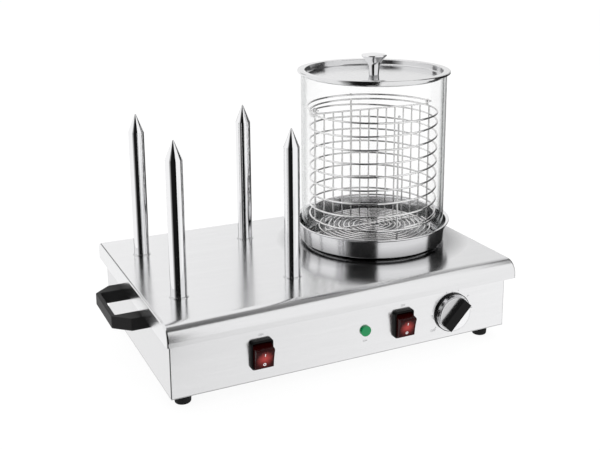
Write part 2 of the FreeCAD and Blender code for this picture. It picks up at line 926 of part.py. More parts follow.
def least_gap(points, apart, wire_radius_here):
    """Least clear distance between stretches of a wire that are at least so many points apart."""
    nearest = min(points[i].distanceToPoint(points[j])
                  for i in range(len(points)) for j in range(i + apart, len(points)))
    return nearest - 2 * wire_radius_here


def basket_coil():
    start_z = deck_z + basket_bottom
    quarters = int(round(basket_coil_turns * 4))
    edges = []
    for i in range(quarters):
        a0 = i * math.pi / 2.0
        a1 = a0 + math.pi / 2.0
        edges += biarc(helix_point(a0, start_z), helix_heading(a0),
                       helix_point(a1, start_z), helix_heading(a1))
    coil = Part.Wire(edges)
    samples = coil.discretize(samples_per_turn * quarters // 4)
    print("basket coil: least gap %.2f mm" % least_gap(samples, samples_per_turn // 2, basket_wire))
    return wire_along(coil, helix_point(0, start_z), helix_heading(0), basket_wire)


def upright_angles():
    return [math.radians(basket_leg_phase + 360.0 * i / basket_leg_count) for i in range(basket_leg_count)]


def basket_frame():
    """Uprights with feet, the top and bottom rings and the bars under the floor."""
    ring_top = basket_ring_z(True)
    ring_low = basket_ring_z(False)
    inner = basket_radius - 2 * basket_wire - weld_gap
    foot_z = pan_floor_z + seat_gap
    bar_z = basket_floor_z() - floor_wire - basket_wire - weld_gap
    pieces = [ring_wire(Vec(station.x, station.y, ring_top), basket_radius, basket_wire),
              ring_wire(Vec(station.x, station.y, ring_low), basket_radius, basket_wire)]
    angles = upright_angles()
    for angle in angles:
        x = station.x + inner * math.cos(angle)
        y = station.y + inner * math.sin(angle)
        pieces.append(post(x, y, foot_z, ring_top, basket_wire))
        pieces.append(Part.makeCylinder(basket_wire * 0.9, 2 * basket_wire, Vec(x, y, ring_top),
                                        Vec(math.cos(angle), math.sin(angle), 0)))
        pieces.append(Part.makeCylinder(basket_wire * 0.9, 2 * basket_wire, Vec(x, y, ring_low),
                                        Vec(math.cos(angle), math.sin(angle), 0)))
    for i in range(len(angles) // 2):
        direction = Vec(math.cos(angles[i]), math.sin(angles[i]), 0)
        start = station + Vec(0, 0, bar_z) - direction * inner
        pieces.append(Part.makeCylinder(basket_wire, 2 * inner, start, direction))
    return joined(pieces)


def divider_half_span():
    return (divider_bar_count - 1) / 2.0 * divider_bar_pitch


def basket_divider():
    """A flat screen of straight wires down the middle, hung from the top ring."""
    top = basket_ring_z(True) + basket_wire + divider_wire + weld_gap
    bottom = basket_floor_z() + floor_wire + divider_wire + weld_gap
    inner = divider_half_span()
    reach = basket_radius - basket_wire - weld_gap
    bars = [rod_x(station.y, top, station.x - reach, station.x + reach, divider_wire),
            rod_x(station.y, bottom, station.x - inner, station.x + inner, divider_wire)]
    for i in range(divider_bar_count):
        bars.append(post(station.x - inner + i * divider_bar_pitch, station.y, bottom, top, divider_wire))
    return joined(bars)


def basket_floor():
    """A flat spiral of half circles whose centres step from side to side."""
    z = basket_floor_z()
    step = floor_pitch / 2.0
    radius = floor_pitch * 0.75
    x = station.x
    side = 1
    start = Vec(x + side * radius, station.y, z)
    first = Vec(start.x, start.y, start.z)
    edges = []
    for i in range(2 * floor_turns):
        crest = Vec(x, station.y + side * radius, z)
        end = Vec(x - side * radius, station.y, z)
        edges.append(Part.Arc(start, crest, end).toShape())
        start = end
        x += side * step
        radius += step
        side = -side
    spiral = Part.Wire(edges)
    samples = []
    for edge in edges:
        samples += edge.discretize(samples_per_turn // 2)[1:]
    print("basket floor: least gap %.2f mm" % least_gap(samples, samples_per_turn // 2, floor_wire))
    return wire_along(spiral, first, Vec(0, 1, 0), floor_wire)


def bail_z():
    return basket_ring_z(True) + bail_lift


def basket_bail():
    """Half a hoop that lies back on the top ring, with straight ends through the ears."""
    z = bail_z()
    left = Vec(station.x - bail_reach, station.y, z)
    right = Vec(station.x + bail_reach, station.y, z)
    back = Vec(station.x, station.y + bail_reach, z)
    hoop = wire_along(Part.Wire([Part.Arc(left, back, right).toShape()]), left, Vec(0, 1, 0), bail_wire)
    pins = []
    for side in (-1, 1):
        elbow = station.x + side * bail_reach
        tip = station.x + side * (basket_radius - 3 * basket_wire)
        pins.append(rod_x(station.y, z, min(elbow, tip), max(elbow, tip), bail_wire))
        pins.append(Part.makeSphere(bail_wire, Vec(elbow, station.y, z)))
    return joined([hoop] + pins)


def basket_ears():
    """An eye on each end of the top ring that carries the bail."""
    z = bail_z()
    ears = []
    hole = bail_wire + running_gap
    for side in (-1, 1):
        x_mid = station.x + side * basket_radius
        half = basket_wire
        eye = rod_x(station.y, z, x_mid - half, x_mid + half, hole + bail_eye_wall)
        eye = eye.cut(rod_x(station.y, z, x_mid - half - 1, x_mid + half + 1, hole))
        stalk_top = z - hole - bail_eye_wall / 2.0
        stalk = post(x_mid, station.y, basket_ring_z(True), stalk_top, basket_wire * 0.8)
        ears.append(joined([eye, stalk]))
    return ears


def basket_frame_with_ears():
    return joined([basket_frame()] + basket_ears())


# Controls.
def switch_housing(x):
    """Frame in front of the panel and a hollow box behind it, with three tabs."""
    outer = rectangle(x - frame_width / 2.0, x + frame_width / 2.0,
                      control_z - frame_height / 2.0, control_z + frame_height / 2.0, frame_corner)
    frame = plate_xz(outer, body_front - frame_depth, body_front)
    front = body_front - frame_depth
    frame = frame.makeChamfer(frame_bevel, [e for e in frame.Edges if e.BoundBox.YMax < front + 0.01])
    half_w = housing_half_width()
    half_h = housing_half_height()
    housing = box(x - half_w, x + half_w, front + frame_face, panel_inner + housing_depth,
                  control_z - half_h, control_z + half_h)
    body = joined([frame, housing])
    socket = box(x - half_w + housing_wall, x + half_w - housing_wall, front - 1, body_front + socket_depth,
                 control_z - half_h + housing_wall, control_z + half_h - housing_wall)
    pivot = rod_x(body_front + rocker_pivot_depth, control_z, x - half_w - 1, x + half_w + 1,
                  rocker_pin_radius + running_gap)
    body = body.cut(socket).cut(pivot)
    back = panel_inner + housing_depth
    tabs = []
    for shift in (-tab_pitch, 0.0, tab_pitch):
        z = control_z + shift
        tabs.append(box(x - terminal_width / 2.0, x + terminal_width / 2.0, back, back + terminal_length,
                        z - terminal_thickness / 2.0, z + terminal_thickness / 2.0))
    return joined([body] + tabs)


def rocker(x):
    """A block on a pivot pin, shown switched off: its top edge stands out."""
    pivot_y = body_front + rocker_pivot_depth
    half = rocker_length / 2.0
    front = pivot_y - rocker_height
    face = outline_face([(pivot_y, control_z - half, 0), (pivot_y, control_z + half, 0),
                         (front, control_z + half, rocker_edge),
                         (front + rocker_face_hollow, control_z, rocker_face_round),
                         (front, control_z - half, rocker_edge)],
                        lambda p: Vec(x - rocker_width / 2.0, p.x, p.y))
    block = face.extrude(Vec(rocker_width, 0, 0))
    pin_reach = rocker_width / 2.0 + rocker_side_gap + housing_wall * 0.9
    pin = rod_x(pivot_y, control_z, x - pin_reach, x + pin_reach, rocker_pin_radius)
    solid = joined([block, pin])
    return turn_about_x(solid, pivot_y, control_z, rocker_tilt)


def lamp_lens():
    front = body_front - lens_depth
    return turned_y([(0, body_front, 0), (lens_radius, body_front, 0), (lens_radius, front, 0.9),
                     (0, front, 0)], lamp_x, control_z)


def lamp_body():
    return rod_y(lamp_x, control_z, body_front, body_front + lamp_body_length, lamp_body_radius)


def lamp_nut():
    nut = rod_y(lamp_x, control_z, panel_inner, panel_inner + lamp_nut_height, lamp_nut_radius)
    return nut.cut(rod_y(lamp_x, control_z, panel_inner - 1, panel_inner + lamp_nut_height + 1,
                         lamp_body_radius + running_gap))


def knob_planes():
    """Y of the skirt's back, the ring's front, the knob's face and the grip's front."""
    back = body_front - knob_stand_off
    face = body_front - knob_depth
    return back, back - skirt_thickness - ring_depth, face, face - grip_depth


def grip_bar(width, length, y0, y1):
    bar = box(knob_x - width / 2.0, knob_x + width / 2.0, y0, y1,
              control_z - length / 2.0, control_z + length / 2.0)
    upright = [e for e in bar.Edges if abs(e.BoundBox.YLength) < 1e-6]
    bar = bar.makeFillet(0.8, upright)
    bar.rotate(Vec(knob_x, 0, control_z), Vec(0, 1, 0), grip_angle)
    return bar


def thermostat_knob():
    back, ring_front, face, front = knob_planes()
    skirt = rod_y(knob_x, control_z, back - skirt_thickness, back, skirt_radius)
    drum = rod_y(knob_x, control_z, face, back, knob_body_radius)
    grip = grip_bar(grip_width, grip_length, front, face + 3.0)
    knob = joined([skirt, drum, grip])
    inset = face_pocket(face, face_thickness)
    knob = knob.cut(inset)
    return knob.cut(rod_y(knob_x, control_z, back - shaft_engagement, back + 1, shaft_radius + running_gap))


def face_pocket(face, depth):
    disc = rod_y(knob_x, control_z, face - 1.0, face + depth, knob_body_radius - face_margin)
    slot = box(knob_x - grip_width / 2.0, knob_x + grip_width / 2.0, face - 2.0, face + depth + 1,
               control_z - 2 * skirt_radius, control_z + 2 * skirt_radius)
    slot.rotate(Vec(knob_x, 0, control_z), Vec(0, 1, 0), grip_angle)
    return disc.cut(slot)


def knob_face():
    back, ring_front, face, front = knob_planes()
    pocket = face_pocket(face, face_thickness)
    keep = rod_y(knob_x, control_z, face, face + face_thickness, knob_body_radius)
    return group(pocket.common(keep).Solids)


def knob_ring():
    back, ring_front, face, front = knob_planes()
    skirt_front = back - skirt_thickness
    inner = knob_body_radius + running_gap
    return turned_y([(inner, skirt_front, 0), (skirt_radius - 0.6, skirt_front, 0.3),
                     (ring_front_radius, ring_front, 0.2), (inner, ring_front, 0)], knob_x, control_z)


def thermostat_body():
    y0 = panel_inner
    case = box(knob_x - thermostat_width / 2.0, knob_x + thermostat_width / 2.0, y0, y0 + thermostat_depth,
               control_z - thermostat_height / 2.0, control_z + thermostat_height / 2.0)
    bush = rod_y(knob_x, control_z, body_front, y0, bush_radius)
    body = joined([case, bush])
    bore = rod_y(knob_x, control_z, body_front - 2, y0 + thermostat_depth * 0.6, shaft_radius + running_gap)
    return body.cut(bore)


def thermostat_shaft():
    back, ring_front, face, front = knob_planes()
    inside = panel_inner + thermostat_depth * 0.5
    return rod_y(knob_x, control_z, back - shaft_engagement, inside, shaft_radius)


def thermostat_capillary():
    y, z = bulb_line()
    end = Vec(station.x + bulb_length / 2.0, y, z)
    x = end.x + capillary_run
    start = Vec(x, panel_inner + capillary_inset, control_z + thermostat_height / 2.0)
    points = [start, Vec(x, start.y, capillary_height), Vec(x, y, capillary_height), Vec(x, y, z), end]
    return bent_wire(points, capillary_radius, capillary_bend)


# Handles.
def bow_handle():
    """Left handle: straight arms, cut corners and a thin grip, in one moulding."""
    wall = -body_half_width
    outer = wall - handle_reach
    y0 = body_mid_y - handle_length / 2.0
    y1 = body_mid_y + handle_length / 2.0
    z1 = base_bottom + handle_top
    z0 = z1 - handle_height
    plan = [(wall, y0, 0), (wall, y1, 0),
            (outer + handle_chamfer_x, y1, handle_corner), (outer, y1 - handle_chamfer_y, handle_corner),
            (outer, y0 + handle_chamfer_y, handle_corner), (outer + handle_chamfer_x, y0, handle_corner)]
    handle = plate_xy(plan, z0, z1)
    hollow = rectangle(outer + handle_grip, wall + handle_gap_inset, y0 + handle_arm, y1 - handle_arm,
                       handle_gap_corner)
    handle = handle.cut(plate_xy(hollow, z0 - 1, z1 + 1))
    rounded = [e for e in handle.Edges if e.BoundBox.ZLength < 1e-6 and e.BoundBox.XMin < wall - 0.01]
    handle = handle.makeFillet(handle_edge, rounded)
    for y, z in handle_screw_places():
        handle = handle.cut(rod_x(y, z, wall - handle_screw_length, wall + 1, handle_screw_radius))
    return handle


def handle_screws():
    screws = []
    for y, z in handle_screw_places():
        inside = -body_half_width + sheet
        tip = -body_half_width - handle_screw_length + handle_screw_end_room
        shank = rod_x(y, z, tip, inside, handle_screw_radius - running_gap)
        head = rod_x(y, z, inside, inside + handle_screw_head_height, handle_screw_head_radius)
        screw = joined([shank, head])
        screws += [screw, mirrored(screw)]
    return group(screws)


# Supply entry and wiring.
def gland_hexagon(z):
    reach = gland_flats / math.sqrt(3.0)
    corners = []
    for i in range(6):
        angle = math.radians(60 * i)
        corners.append((gland_x + reach * math.cos(angle), z + reach * math.sin(angle), 0))
    return corners


def cable_gland():
    z = base_bottom + gland_z
    outside = body_back
    inner_end = outside - sheet - gland_inner_length
    outer_end = outside + gland_reach
    head = plate_xz(gland_hexagon(z), outside, outside + gland_head)
    cap = turned_y([(0, outside, 0), (gland_cap_radius, outside, 0), (gland_cap_radius, outer_end, 1.6),
                    (0, outer_end, 0)], gland_x, z)
    thread = rod_y(gland_x, z, inner_end, outside, gland_thread_radius)
    bore = rod_y(gland_x, z, inner_end - 1, outer_end + 1, gland_bore_radius)
    return joined([head, cap, thread]).cut(bore)


def gland_nut():
    z = base_bottom + gland_z
    inside = body_back - sheet
    front = inside - gland_nut_height
    nut = plate_xz(gland_hexagon(z), front, inside)
    return nut.cut(rod_y(gland_x, z, front - 1, inside + 1, gland_thread_radius + running_gap))


def block_box():
    x0 = gland_x - block_length / 2.0
    y1 = body_back - sheet - flange_width - block_setback
    return x0, x0 + block_length, y1 - block_width, y1


def block_terminal_x(i):
    return gland_x - block_length / 2.0 + (i + 0.5) * block_length / block_screw_count


def block_screw_y():
    x0, x1, y0, y1 = block_box()
    return (y0 + y1) / 2.0 + block_screw_offset


def terminal_block():
    x0, x1, y0, y1 = block_box()
    block = box(x0, x1, y0, y1, base_top, base_top + block_height)
    top = base_top + block_height
    ledge = box(x0 - 1, x1 + 1, y0 - 1, y0 + block_width * 0.28, base_top + block_height * 0.55, top + 1)
    block = block.cut(ledge)
    for i in range(block_screw_count):
        block = block.cut(post(block_terminal_x(i), block_screw_y(), base_top + block_screw_floor, top + 1,
                               block_screw_radius))
    return block


def block_screws():
    screws = []
    for i in range(block_screw_count):
        screws.append(post(block_terminal_x(i), block_screw_y(), base_top + block_screw_floor,
                           base_top + block_height - block_screw_recess, block_screw_radius - running_gap))
    return group(screws)


def earth_stud():
    x0, x1, y0, y1 = block_box()
    x = x1 + earth_stud_gap
    y = (y0 + y1) / 2.0
    washer_top = base_top + earth_washer_thickness
    stud = post(x, y, base_top, base_top + earth_stud_height, earth_stud_radius)
    washer = post(x, y, base_top, washer_top, earth_washer_radius)
    nut = hexagon(x, y, earth_nut_flats, washer_top, washer_top + earth_nut_height)
    return joined([stud, washer, nut])


def switch_leads():
    """Two leads from the front of the terminal block to the tabs of each switch."""
    x0, x1, y0, y1 = block_box()
    z_block = base_top + wire_height
    y_tab = panel_inner + housing_depth + terminal_length
    leads = []
    for i, x in enumerate(control_places()):
        for k, tab in enumerate((-1, 1)):
            slot = 2 * i + k
            x_block = block_terminal_x(slot + 1)
            y_front = y_tab + loom_front_gap + slot * wire_pitch
            z_tab = control_z + tab * tab_pitch
            points = [Vec(x_block, y0, z_block), Vec(x_block, y_front, z_block),
                      Vec(x, y_front, z_tab), Vec(x, y_tab, z_tab)]
            leads.append(bent_wire(points, wire_radius, wire_bend))
    return group(leads)


nodes = {}
nodes["deck_cover"] = deck_cover()
nodes["body_shell"] = body_shell()
nodes["front_panel"] = front_panel()
nodes["base_plate"] = base_plate()
nodes["casing_screws"] = casing_screws()
for name, place in zip(("front_left", "front_right", "back_left", "back_right"), foot_places()):
    nodes["foot_" + name] = rubber_foot(place[0], place[1])
nodes["foot_screws"] = foot_screws()
nodes["foot_nuts"] = foot_nuts()
for y_name, y in zip(("front", "back"), spike_ys):
    for x_name, x in zip(("left", "right"), spike_xs):
        nodes["bun_spike_" + y_name + "_" + x_name] = bun_spike(x, y)
nodes["spike_heaters"] = group([spike_heater(x, y) for x in spike_xs for y in spike_ys])
nodes["spike_collars"] = spike_collars()
nodes["spike_nuts"] = spike_nuts()
nodes["water_pan"] = water_pan()
nodes["heat_plate"] = heat_plate()
nodes["heating_element"] = heating_element()
nodes["element_clamp"] = element_clamp()
nodes["clamp_nut"] = clamp_nut()
nodes["thermal_cutout"] = thermal_cutout()
nodes["heat_shield"] = heat_shield()
nodes["glass_cylinder"] = glass_cylinder()
nodes["lid"] = lid()
nodes["lid_knob"] = lid_knob()
nodes["lid_screw"] = lid_screw()
nodes["basket_coil"] = basket_coil()
nodes["basket_frame"] = basket_frame_with_ears()
nodes["basket_divider"] = basket_divider()
nodes["basket_floor"] = basket_floor()
nodes["basket_bail"] = basket_bail()
nodes["switch_housing_left"] = switch_housing(switch_left_x)
nodes["switch_housing_right"] = switch_housing(switch_right_x)
nodes["rocker_left"] = rocker(switch_left_x)
nodes["rocker_right"] = rocker(switch_right_x)
nodes["lamp_lens"] = lamp_lens()
nodes["lamp_body"] = lamp_body()
nodes["lamp_nut"] = lamp_nut()
nodes["thermostat_knob"] = thermostat_knob()
nodes["knob_face"] = knob_face()
nodes["knob_ring"] = knob_ring()
nodes["thermostat_shaft"] = thermostat_shaft()
nodes["thermostat_body"] = thermostat_body()
nodes["thermostat_bulb"] = thermostat_bulb()
nodes["thermostat_capillary"] = thermostat_capillary()
nodes["handle_left"] = bow_handle()
nodes["handle_right"] = mirrored(bow_handle())
nodes["handle_screws"] = handle_screws()
nodes["cable_gland"] = cable_gland()
nodes["gland_nut"] = gland_nut()
nodes["terminal_block"] = terminal_block()
nodes["block_screws"] = block_screws()
nodes["earth_stud"] = earth_stud()
nodes["switch_leads"] = switch_leads()

os.makedirs("parts", exist_ok=True)
for name, shape in nodes.items():
    solids = len(shape.Solids)
    print("%-28s solids %2d  volume %10.1f  valid %s" % (name, solids, shape.Volume, shape.isValid()))
    shape.exportStep("parts/" + name + ".step")
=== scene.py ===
import bpy
import math
from mathutils import Matrix, Vector


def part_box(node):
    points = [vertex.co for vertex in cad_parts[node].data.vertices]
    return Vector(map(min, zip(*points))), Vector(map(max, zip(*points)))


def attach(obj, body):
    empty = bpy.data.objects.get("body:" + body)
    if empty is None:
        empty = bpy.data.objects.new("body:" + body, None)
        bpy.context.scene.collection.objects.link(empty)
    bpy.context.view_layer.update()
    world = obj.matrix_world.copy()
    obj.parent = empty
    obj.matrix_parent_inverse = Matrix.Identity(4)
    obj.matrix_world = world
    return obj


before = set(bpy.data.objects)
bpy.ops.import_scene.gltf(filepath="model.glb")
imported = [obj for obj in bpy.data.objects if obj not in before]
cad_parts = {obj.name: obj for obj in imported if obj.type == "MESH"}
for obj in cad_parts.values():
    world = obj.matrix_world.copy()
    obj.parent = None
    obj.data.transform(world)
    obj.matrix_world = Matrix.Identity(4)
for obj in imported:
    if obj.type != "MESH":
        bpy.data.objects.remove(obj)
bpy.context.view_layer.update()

# Camera. It stands where the photograph was taken from, left of the machine's front and above it.
# The photograph is a crop of a wider picture, so the lens is shifted, but only as far as keeps the
# object inside the other views.
camera_place = Vector((-0.4975, -1.1032, 0.5484))
camera_yaw = 0.4879
camera_pitch = 0.2380
camera_roll = 0.0085
photo_width = 600
photo_height = 450
focal_pixels = 936.12
centre_across = 360.0
centre_down = 150.0

forward = Vector((math.sin(camera_yaw) * math.cos(camera_pitch),
                  math.cos(camera_yaw) * math.cos(camera_pitch), -math.sin(camera_pitch)))
level = Vector((math.cos(camera_yaw), -math.sin(camera_yaw), 0))
upright = level.cross(forward)
right = level * math.cos(camera_roll) + upright * math.sin(camera_roll)
up = upright * math.cos(camera_roll) - level * math.sin(camera_roll)
bpy.ops.object.camera_add()
camera = bpy.context.object
camera.matrix_world = Matrix.Translation(camera_place) @ Matrix((right, up, -forward)).transposed().to_4x4()
sensor_width = 36
camera.data.sensor_width = sensor_width
camera.data.lens = sensor_width * focal_pixels / photo_width
camera.data.shift_x = (photo_width / 2 - centre_across) / photo_width
camera.data.shift_y = (centre_down - photo_height / 2) / photo_width
camera.data.clip_end = 30
bpy.context.scene.camera = camera
bpy.context.scene.view_settings.view_transform = "Standard"

# Studio: an even white room, two soft lights and a pale floor.
# Polished steel looks like steel only beside something dark, so black cards stand round the set.
world = bpy.data.worlds.new("white_room")
world.use_nodes = True
world.node_tree.nodes["Background"].inputs["Color"].default_value = (1, 1, 1, 1)
world.node_tree.nodes["Background"].inputs["Strength"].default_value = 1
bpy.context.scene.world = world


def soft_light(name, place, aim, size, power):
    """A square light that the polished steel does not mirror."""
    bpy.ops.object.light_add(type="AREA", location=place)
    lamp = bpy.context.object
    lamp.name = name
    lamp.data.shape = "SQUARE"
    lamp.data.size = size
    lamp.data.energy = power
    lamp.rotation_euler = (Vector(aim) - Vector(place)).to_track_quat("-Z", "Y").to_euler()
    lamp.visible_glossy = False


soft_light("overhead_light", (0.2, 0.3, 2.2), (0, 0, 0), 2.0, 14)
soft_light("front_left_light", (-1.6, -1.6, 1.3), (0, 0, 0.15), 1.2, 7)


def studio_card(name, corners, first_tone, last_tone):
    """A card that only mirrors see, going evenly in tone from its first side to its last."""
    mesh = bpy.data.meshes.new(name)
    mesh.from_pydata([Vector(corner) for corner in corners], [], [(0, 1, 2, 3)])
    across = mesh.uv_layers.new(name="across")
    for loop, value in zip(across.data, ((0, 0), (1, 0), (1, 1), (0, 1))):
        loop.uv = value
    card = bpy.data.objects.new(name, mesh)
    bpy.context.scene.collection.objects.link(card)
    card.visible_camera = False
    card.visible_diffuse = False
    card.visible_transmission = False
    card.visible_shadow = False
    paint = bpy.data.materials.new(name + "_paint")
    paint.use_nodes = True
    tree = paint.node_tree
    shader = tree.nodes["Principled BSDF"]
    shader.inputs["Base Color"].default_value = (0, 0, 0, 1)
    shader.inputs["Specular IOR Level"].default_value = 0
    shader.inputs["Emission Strength"].default_value = 1
    where = tree.nodes.new("ShaderNodeSeparateXYZ")
    tone = tree.nodes.new("ShaderNodeMix")
    tone.data_type = "RGBA"
    tone.inputs[6].default_value = (first_tone, first_tone, first_tone, 1)
    tone.inputs[7].default_value = (last_tone, last_tone, last_tone, 1)
    tree.links.new(tree.nodes.new("ShaderNodeTexCoord").outputs["UV"], where.inputs[0])
    tree.links.new(where.outputs["X"], tone.inputs[0])
    tree.links.new(tone.outputs[2], shader.inputs["Emission Color"])
    mesh.materials.append(paint)


def wall_card(name, start, end, low, high, first_tone, last_tone):
    """An upright card over the floor line from start to end."""
    studio_card(name, [(start[0], start[1], low), (end[0], end[1], low),
                       (end[0], end[1], high), (start[0], start[1], high)], first_tone, last_tone)


wall_card("card_beside_camera", (-1.05, -0.60), (-0.11, -0.60), -0.12, 2.0, 0.012, 0.006)
wall_card("card_low_left", (-1.05, -0.60), (-0.36, -0.60), -1.2, -0.12, 0.01, 0.01)
wall_card("card_left_of_camera", (-1.70, -0.30), (-1.05, -0.60), -1.2, 1.6, 0.75, 0.10)
wall_card("card_on_the_right", (1.20, -0.45), (1.20, 0.70), -1.0, 1.5, 0.02, 0.02)
wall_card("card_behind_left", (-1.05, 2.00), (-0.40, 2.00), 0.45, 1.05, 0.08, 0.08)
wall_card("card_behind_right", (0.60, 3.00), (4.00, 2.00), -1.0, 2.4, 0.98, 0.72)
wall_card("card_low_right", (1.75, 2.50), (3.00, 0.80), -1.6, 0.02, 0.03, 0.03)
wall_card("card_under_the_front", (-0.30, -1.50), (1.60, -1.50), -1.6, -0.20, 0.80, 1.06)
strip_along = Vector((0.627, 0.779, 0))
strip_across = Vector((-0.779, 0.627, 0))
strip_start = Vector((-0.22, -0.69, 1.11))
strip_length = 3.1
strip_end = strip_start + strip_along * strip_length
studio_card("card_overhead", [strip_start - strip_across * 0.34, strip_end - strip_across * 0.16,
                              strip_end + strip_across * 0.16, strip_start + strip_across * 0.24], 0.03, 0.95)

floor_reach = 14
bpy.ops.mesh.primitive_plane_add(size=floor_reach)
floor = bpy.context.object
floor.name = "studio_floor"
floor.visible_glossy = False
floor_paint = bpy.data.materials.new("pale_floor")
floor_paint.use_nodes = True
floor_shader = floor_paint.node_tree.nodes["Principled BSDF"]
floor_shader.inputs["Base Color"].default_value = (0.12, 0.12, 0.12, 1)
floor_shader.inputs["Roughness"].default_value = 0.9
floor_shader.inputs["Specular IOR Level"].default_value = 0
floor_shader.inputs["Emission Color"].default_value = (1, 1, 1, 1)
floor_shader.inputs["Emission Strength"].default_value = 0.905
floor.data.materials.append(floor_paint)


# Cover: one stainless sheet drawn over the body, round at the front and brushed from side to side.
# It is bright enough to mirror the spikes, and the brushing draws the mirror image out from front to back.
# Close round the pan the cover is painted darker: painted shade standing for the pan's shadow and its dark
# mirror image.
class Term:
    """A shader socket in arithmetic: each operator adds one Math node."""

    def __init__(self, tree, socket):
        self.tree = tree
        self.socket = socket

    def combine(self, operation, first, second):
        node = self.tree.nodes.new("ShaderNodeMath")
        node.operation = operation
        for slot, value in zip(node.inputs, (first, second)):
            if isinstance(value, Term):
                self.tree.links.new(value.socket, slot)
            else:
                slot.default_value = value
        return Term(self.tree, node.outputs[0])

    def __add__(self, other):
        return self.combine("ADD", self, other)

    def __radd__(self, other):
        return self.combine("ADD", other, self)

    def __sub__(self, other):
        return self.combine("SUBTRACT", self, other)

    def __mul__(self, other):
        return self.combine("MULTIPLY", self, other)

    def __rmul__(self, other):
        return self.combine("MULTIPLY", other, self)

    def __pow__(self, other):
        return self.combine("POWER", self, other)


class Finish:
    """One finish: a Principled shader with its constants set, and nodes for what varies."""

    def __init__(self, name, **constants):
        self.material = bpy.data.materials.new(name)
        self.material.use_nodes = True
        self.tree = self.material.node_tree
        self.shader = self.tree.nodes["Principled BSDF"]
        for socket, value in constants.items():
            self.shader.inputs[socket.replace("_", " ")].default_value = value

    def node(self, kind, settings, sockets, output=0):
        """Adds a node: settings first, then a value or a link for each socket."""
        node = self.tree.nodes.new("ShaderNode" + kind)
        for setting, value in settings.items():
            setattr(node, setting, value)
        for socket, value in sockets.items():
            if isinstance(value, Term):
                self.tree.links.new(value.socket, node.inputs[socket])
            else:
                node.inputs[socket].default_value = value
        return Term(self.tree, node.outputs[output])

    def place(self, scale=(1, 1, 1), centre=(0, 0, 0)):
        """Object coordinates measured from a centre and stretched."""
        shift = [-c * s for c, s in zip(centre, scale)]
        where = self.node("TexCoord", {}, {}, output="Object")
        return self.node("Mapping", {}, {"Vector": where, "Scale": scale, "Location": shift})

    def split(self, vector):
        """The three numbers of a vector."""
        node = self.tree.nodes.new("ShaderNodeSeparateXYZ")
        self.tree.links.new(vector.socket, node.inputs[0])
        return [Term(self.tree, output) for output in node.outputs]

    def noise(self, at, scale, detail=2.0, roughness=0.5):
        return self.node("TexNoise", {}, {"Vector": at, "Scale": scale,
                                          "Detail": detail, "Roughness": roughness})

    def remap(self, value, low, high, first=0.0, second=1.0):
        return self.node("MapRange", {}, {"Value": value, "From Min": low, "From Max": high,
                                          "To Min": first, "To Max": second})

    def blend(self, mask, first, second):
        """A colour between two colours, by a mask from 0 to 1."""
        return self.node("Mix", {"data_type": "RGBA"}, {0: mask, 6: first, 7: second}, output=2)

    def feed(self, socket, term):
        """Links a term to a socket of the shader, and keeps the colour so that it can be tinted."""
        self.tree.links.new(term.socket, self.shader.inputs[socket])
        if socket == "Base Color":
            self.colour = term

    def tint(self, mask, tone):
        """Goes over to another grey where the mask is 1."""
        self.feed("Base Color", self.blend(mask, self.colour, grey(tone)))

    def bump(self, height, depth):
        """Relief: height from 0 to 1 stands for the depth in metres."""
        self.feed("Normal", self.node("Bump", {}, {"Strength": 1.0, "Distance": depth, "Height": height}))


def grey(value):
    return (value, value, value * 1.01, 1)


def brushed_sheet(name, tone, roughness, stretch, depth):
    """Sheet steel brushed along the axis whose stretch is small, with faint cloudy handling marks."""
    steel = Finish(name, Metallic=1.0)
    grain = steel.place(scale=stretch)
    fine = steel.noise(grain, 1500.0, detail=3.0, roughness=0.6)
    broad = steel.noise(grain, 90.0, detail=2.0)
    cloud = steel.noise(steel.place(), 6.0, detail=2.0)
    lines = fine * 0.6 + broad * 0.4
    steel.feed("Base Color", steel.blend(steel.remap(lines, 0.3, 0.7), grey(tone * 0.97), grey(tone * 1.03)))
    steel.feed("Roughness", roughness + (lines - 0.5) * 0.06 + (cloud - 0.5) * 0.05)
    steel.bump(fine * 0.7 + broad * 0.3, depth)
    return steel


def dress(finish, *nodes):
    """Gives CAD nodes a finish."""
    for name in nodes:
        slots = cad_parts[name].data.materials
        slots.clear()
        slots.append(finish.material)


across = (0.02, 1.0, 1.0)
cover_steel = brushed_sheet("cover_steel", 0.81, 0.17, across, 0.00003)
pan_low, pan_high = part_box("water_pan")
station = ((pan_low[0] + pan_high[0]) / 2, (pan_low[1] + pan_high[1]) / 2, 0)
# Painted shade: within these reaches of the pan's middle the cover is painted darker, darkest nearest the
# pan.
painted_shade_full_reach = 0.108
painted_shade_end_reach = 0.137
x, y, z = cover_steel.split(cover_steel.place(centre=station))
pan_painted_shade = cover_steel.remap((x * x + y * y) ** 0.5, painted_shade_end_reach, painted_shade_full_reach)
cover_steel.tint(pan_painted_shade * 0.65, 0.16)
dress(cover_steel, "deck_cover")

# Body: sides and back bent from one stainless sheet, closed by the front panel.
# Both are brushed level, a little duller than the cover, and painted shade darkens the seam at the corner.
panel_steel = brushed_sheet("panel_steel", 0.86, 0.2, across, 0.00003)
side_steel = brushed_sheet("side_steel", 0.72, 0.2, (0.02, 0.02, 1.0), 0.00003)
# Painted shade: a thin dark line is painted on panel and sides along the seam where they meet.
seam_shade_tone = 0.10
seam_shade_fade = 0.0006
panel_low, panel_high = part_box("front_panel")
panel_seam = panel_high[0] - 0.0005
x, y, z = panel_steel.split(panel_steel.place())
panel_steel.tint(panel_steel.remap((x * x) ** 0.5, panel_seam - seam_shade_fade, panel_seam), seam_shade_tone)
shell_low, shell_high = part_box("body_shell")
side_seam = shell_low[1] + 0.0004
x, y, z = side_steel.split(side_steel.place())
side_steel.tint(side_steel.remap(y, side_seam + seam_shade_fade, side_seam), seam_shade_tone)
dress(panel_steel, "front_panel")
dress(side_steel, "body_shell")

